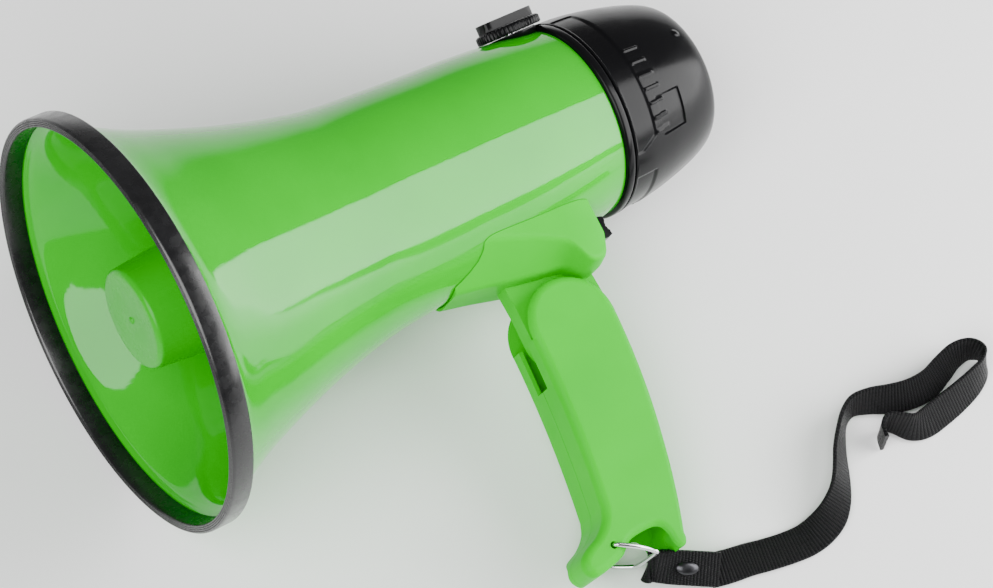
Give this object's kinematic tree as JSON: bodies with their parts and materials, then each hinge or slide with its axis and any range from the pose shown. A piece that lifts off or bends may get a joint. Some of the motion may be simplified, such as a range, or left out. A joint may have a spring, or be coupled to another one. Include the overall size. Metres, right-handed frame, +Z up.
{
  "type": "megaphone",
  "caption": "Handheld battery megaphone with a flared horn, folding pistol grip, talk rocker, volume knob, twist-off rear cap and a webbing wrist strap.",
  "frame": {"origin": "centre of the bounding box of everything but the strap, on the table that the megaphone lies on", "axes": "+Z up from the table; the horn's axis runs from the mouth at -X to the rear cap at +X, tilted down towards the cap; the grip points to -Y"},
  "size_m": [0.3106, 0.2649, 0.1586],
  "materials": {
    "shell_green": "glossy green, slightly translucent",
    "inner_green": "satin green",
    "rim_rubber": "matte black",
    "satin_black": "satin black",
    "nylon_webbing": "ribbed black nylon",
    "bright_steel": "bright plated",
    "dark_steel": "dark plated",
    "washer_nylon": "natural nylon",
    "cell_jacket": "printed foil jacket",
    "ferrite": "dark ferrite",
    "copper_coil": "enamelled copper",
    "dome_film": "amber film",
    "board_green": "solder mask"
  },
  "bodies": {
    "horn": {"amp_board": "board_green", "amp_chip": "satin_black", "battery_1": "cell_jacket", "battery_2": "cell_jacket", "battery_3": "cell_jacket", "battery_4": "cell_jacket", "battery_spring_1": "bright_steel", "battery_spring_2": "bright_steel", "battery_spring_3": "bright_steel", "battery_spring_4": "bright_steel", "battery_tray": "satin_black", "bell_horn": "shell_green", "board_capacitor_1": "satin_black", "board_capacitor_2": "satin_black", "contact_plate_front": "bright_steel", "contact_plate_rear": "bright_steel", "driver_cover": "satin_black", "driver_diaphragm": "dome_film", "driver_magnet": "ferrite", "driver_yoke": "bright_steel", "horn_baffle": "inner_green", "knob_seat": "satin_black", "reflector_cup": "inner_green", "rim_guard": "rim_rubber", "saddle_bracket": "shell_green", "saddle_screw_1": "bright_steel", "saddle_screw_2": "bright_steel", "saddle_screw_3": "bright_steel", "saddle_screw_4": "bright_steel", "seam_ring": "satin_black", "switch_body": "satin_black", "throat_tube": "inner_green", "voice_coil": "copper_coil", "volume_pot": "bright_steel"},
    "grip": {"grip_left_shell": "shell_green", "grip_right_shell": "shell_green", "grip_screw_1": "bright_steel", "grip_screw_2": "bright_steel", "grip_screw_3": "bright_steel", "hinge_pin": "bright_steel", "hinge_washer_left": "washer_nylon", "hinge_washer_right": "washer_nylon"},
    "ring_and_strap": {"strap_ring": "bright_steel", "strap_tab": "nylon_webbing", "strap_rivet": "dark_steel", "wrist_strap": "nylon_webbing"},
    "volume_knob": {"volume_knob": "satin_black"},
    "talk_rocker": {"talk_rocker": "satin_black"},
    "rear_cap": {"rear_cap": "satin_black", "mic_grille": "satin_black", "mic_boot": "rim_rubber", "mic_capsule": "bright_steel"}
  },
  "joints": [
    {"name": "grip_fold", "type": "hinge", "parent": "horn", "child": "grip", "pos_m": [0.02926, -0.02916, 0.03311], "axis": [-0.1798, 0.2497, -0.9515], "range_deg": [0, 66]},
    {"name": "ring_swing", "type": "hinge", "parent": "grip", "child": "ring_and_strap", "pos_m": [-0.00747, -0.10682, 0.01967], "axis": [0.1798, -0.2497, 0.9515], "range_deg": [-70, 0]},
    {"name": "volume_turn", "type": "hinge", "parent": "horn", "child": "volume_knob", "pos_m": [0.07665, 0.07696, 0.06308], "axis": [0.0913, 0.8707, 0.4833], "range_deg": [-135, 135]},
    {"name": "talk_press", "type": "hinge", "parent": "horn", "child": "talk_rocker", "pos_m": [0.05802, -0.00321, 0.03449], "axis": [0.1798, -0.2497, 0.9515], "range_deg": [-8, 8], "stiffness_Nm_per_rad": 0.3},
    {"name": "cap_twist", "type": "hinge", "parent": "horn", "child": "rear_cap", "pos_m": [0.08306, 0.04153, 0.0415], "axis": [0.9826, 0, -0.1857], "range_deg": [0, 30]}
  ]
}
